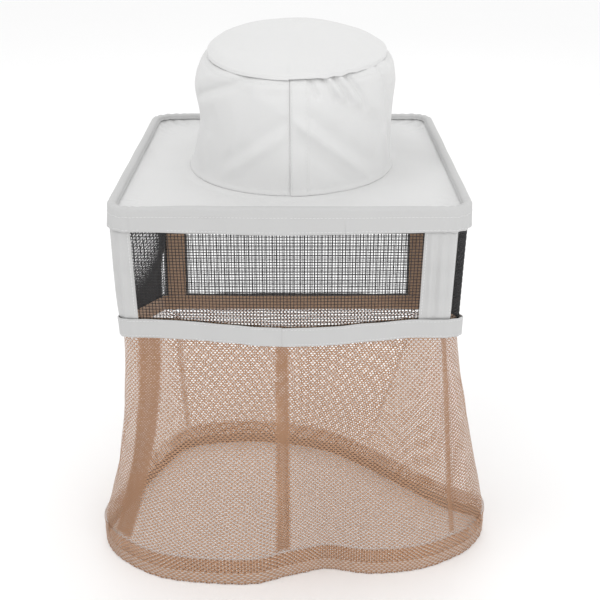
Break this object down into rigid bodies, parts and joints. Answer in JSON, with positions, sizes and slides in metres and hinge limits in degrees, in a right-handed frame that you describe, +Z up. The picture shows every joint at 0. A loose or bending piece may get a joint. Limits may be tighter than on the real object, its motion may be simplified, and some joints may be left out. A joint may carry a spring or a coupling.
{
  "type": "beekeeper's square veil hat",
  "caption": "Cotton bucket hat on a square deck with a wedge-shaped box of black screens between wire hoops, and a net skirt with an elastic hem.",
  "frame": {"origin": "middle of the head opening, in the plane of the deck's top face", "axes": "+Z up, front towards -Y, +X to the right as the front is seen"},
  "size_m": [0.4488, 0.332, 0.5759],
  "materials": {
    "white_cotton": "plain woven cotton with a slight sheen, softly creased",
    "black_screen": "woven square mesh of coated black strands",
    "tan_tape": "flat woven tape",
    "tan_net": "knitted honeycomb net",
    "elastic": "ribbed woven elastic",
    "spring_steel": "bright drawn wire"
  },
  "bodies": {
    "hat": {"crown_side_right": "white_cotton", "crown_side_left": "white_cotton", "crown_sweatband": "white_cotton", "deck": "white_cotton", "upper_band": "white_cotton", "upper_hoop": "spring_steel", "upper_hoop_ferrule": "spring_steel", "screen_front": "black_screen", "screen_right": "black_screen", "screen_back": "black_screen", "screen_left": "black_screen", "post_front_right": "white_cotton", "post_back_right": "white_cotton", "post_back_left": "white_cotton", "post_front_left": "white_cotton", "post_tape_front_right": "tan_tape", "post_tape_back_right": "tan_tape", "post_tape_back_left": "tan_tape", "post_tape_front_left": "tan_tape"},
    "crown_top": {"crown_tip": "white_cotton"},
    "lower_hoop": {"lower_hoop": "spring_steel", "lower_hoop_ferrule": "spring_steel", "lower_band": "white_cotton", "lower_tape": "tan_tape", "net_front_right": "tan_net", "net_right": "tan_net", "net_back": "tan_net", "net_left": "tan_net", "net_front_left": "tan_net", "net_seam_front": "tan_net", "net_seam_front_right": "tan_net", "net_seam_back_right": "tan_net", "net_seam_back_left": "tan_net", "net_seam_front_left": "tan_net"},
    "hem": {"hem_casing": "tan_net", "hem_elastic": "elastic"}
  },
  "joints": [
    {"name": "box_fold", "type": "hinge", "parent": "hat", "child": "lower_hoop", "pos_m": [0, -0.433, -0.07], "axis": [1, 0, 0], "range_deg": [0, 18], "deforming": ["screen_front", "screen_right", "screen_back", "screen_left", "post_front_right", "post_back_right", "post_back_left", "post_front_left", "post_tape_front_right", "post_tape_back_right", "post_tape_back_left", "post_tape_front_left"]},
    {"name": "skirt_lift", "type": "slide", "parent": "lower_hoop", "child": "hem", "axis": [0, 0, 1], "range_m": [0, 0.16], "deforming": ["net_front_right", "net_right", "net_back", "net_left", "net_front_left", "net_seam_front", "net_seam_front_right", "net_seam_back_right", "net_seam_back_left", "net_seam_front_left"]},
    {"name": "crown_press", "type": "slide", "parent": "hat", "child": "crown_top", "axis": [0, 0, 1], "range_m": [-0.075, 0], "deforming": ["crown_side_right", "crown_side_left"]}
  ]
}
